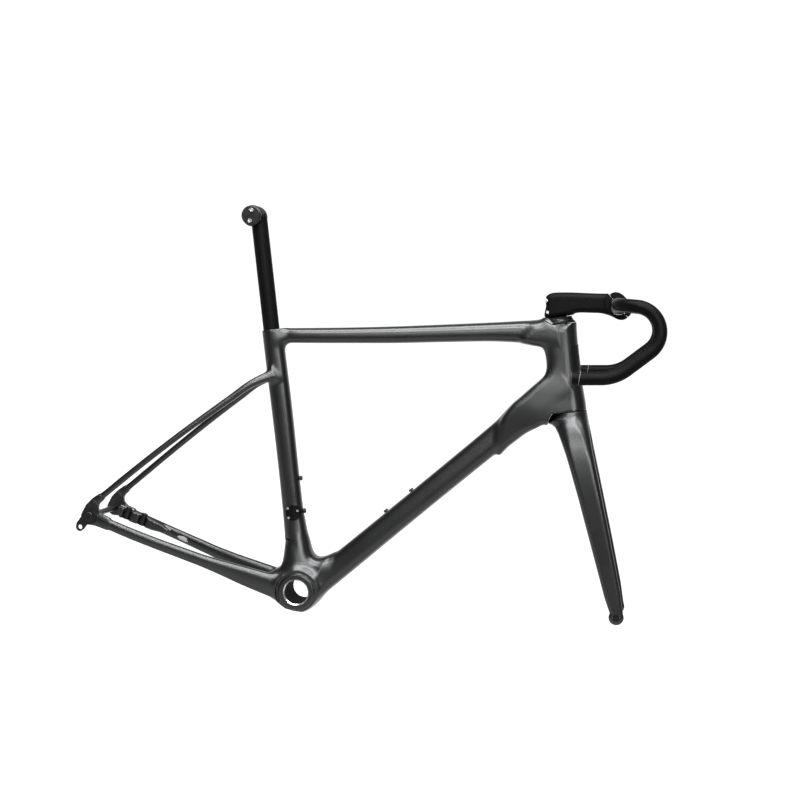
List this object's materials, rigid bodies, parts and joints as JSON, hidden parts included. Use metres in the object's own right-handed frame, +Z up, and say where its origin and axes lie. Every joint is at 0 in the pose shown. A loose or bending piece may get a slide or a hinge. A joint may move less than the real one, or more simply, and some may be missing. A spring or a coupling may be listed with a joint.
{
  "type": "bicycle frame",
  "caption": "Road bicycle frameset: tapered carbon tubes, disc fork, thru axles, drop handlebar on a stem, seatpost and saddle clamp.",
  "frame": {"origin": "centre of the bottom bracket", "axes": "+X towards the front wheel, +Y to the rider's left, +Z up, with the two axles level"},
  "size_m": [1.0625, 0.4498, 0.7584],
  "materials": {
    "painted_carbon": "satin metallic charcoal paint over carbon-fibre composite",
    "black_carbon": "matte black carbon-fibre composite",
    "black_alloy": "black anodised aluminium",
    "bright_steel": "bright steel",
    "black_rubber": "matte black rubber"
  },
  "bodies": {
    "frame": {"head_tube": "painted_carbon", "top_tube": "painted_carbon", "down_tube": "painted_carbon", "seat_tube": "painted_carbon", "bb_shell": "painted_carbon", "bb_sleeve": "bright_steel", "chainstay_left": "painted_carbon", "chainstay_right": "painted_carbon", "seatstay_left": "painted_carbon", "seatstay_right": "painted_carbon", "dropout_left": "painted_carbon", "dropout_right": "painted_carbon", "derailleur_hanger": "black_alloy", "hanger_bolt": "black_alloy", "brake_post_front": "black_alloy", "brake_post_rear": "black_alloy", "hose_grommet": "black_rubber", "fd_mount_cover": "black_alloy", "fd_screw_1": "bright_steel", "fd_screw_2": "bright_steel", "fd_screw_3": "bright_steel", "bottle_bolt_1": "black_alloy", "bottle_bolt_2": "black_alloy", "bottle_bolt_3": "black_alloy", "bottle_bolt_4": "black_alloy", "seat_wedge": "black_alloy", "upper_bearing_outer": "bright_steel", "lower_bearing_outer": "bright_steel", "headset_cover": "painted_carbon"},
    "fork": {"fork_crown": "painted_carbon", "fork_leg_left": "painted_carbon", "fork_leg_right": "painted_carbon", "fork_tip_left": "black_alloy", "fork_tip_right": "black_alloy", "steerer": "black_carbon", "upper_bearing_inner": "bright_steel", "lower_bearing_inner": "bright_steel", "compression_ring": "black_alloy", "stem_collar": "black_carbon", "stem": "black_carbon", "faceplate": "black_carbon", "faceplate_bolt_1": "bright_steel", "faceplate_bolt_2": "bright_steel", "faceplate_bolt_3": "bright_steel", "faceplate_bolt_4": "bright_steel", "pinch_bolt_upper": "bright_steel", "pinch_bolt_lower": "bright_steel", "top_cap": "black_alloy"},
    "handlebar": {"handlebar": "black_carbon", "bar_plug_left": "black_rubber", "bar_plug_right": "black_rubber"},
    "seatpost": {"seatpost": "black_carbon"},
    "saddle_clamp": {"clamp_core": "black_alloy", "rail_clamp_left": "black_alloy", "rail_clamp_right": "black_alloy", "clamp_bolt_upper": "bright_steel", "clamp_bolt_lower": "bright_steel"},
    "rear_axle": {"rear_axle": "black_alloy"},
    "front_axle": {"front_axle": "black_alloy"}
  },
  "joints": [
    {"name": "steering", "type": "hinge", "parent": "frame", "child": "fork", "pos_m": [0.45415, 0, 0.43424], "axis": [-0.284, 0, 0.9588], "range_deg": [-55, 55]},
    {"name": "handlebar_roll", "type": "hinge", "parent": "fork", "child": "handlebar", "pos_m": [0.51, 0, 0.645], "axis": [0, 1, 0], "range_deg": [-10, 10]},
    {"name": "seatpost_height", "type": "slide", "parent": "frame", "child": "seatpost", "axis": [-0.2756, 0, 0.9613], "range_m": [-0.06, 0.1]},
    {"name": "saddle_tilt", "type": "hinge", "parent": "seatpost", "child": "saddle_clamp", "pos_m": [-0.2093, 0, 0.6994], "axis": [0, 1, 0], "range_deg": [-15, 15]},
    {"name": "rear_axle_out", "type": "slide", "parent": "frame", "child": "rear_axle", "axis": [0, 1, 0], "range_m": [0, 0.17]},
    {"name": "front_axle_out", "type": "slide", "parent": "fork", "child": "front_axle", "axis": [0, 1, 0], "range_m": [0, 0.13]}
  ]
}
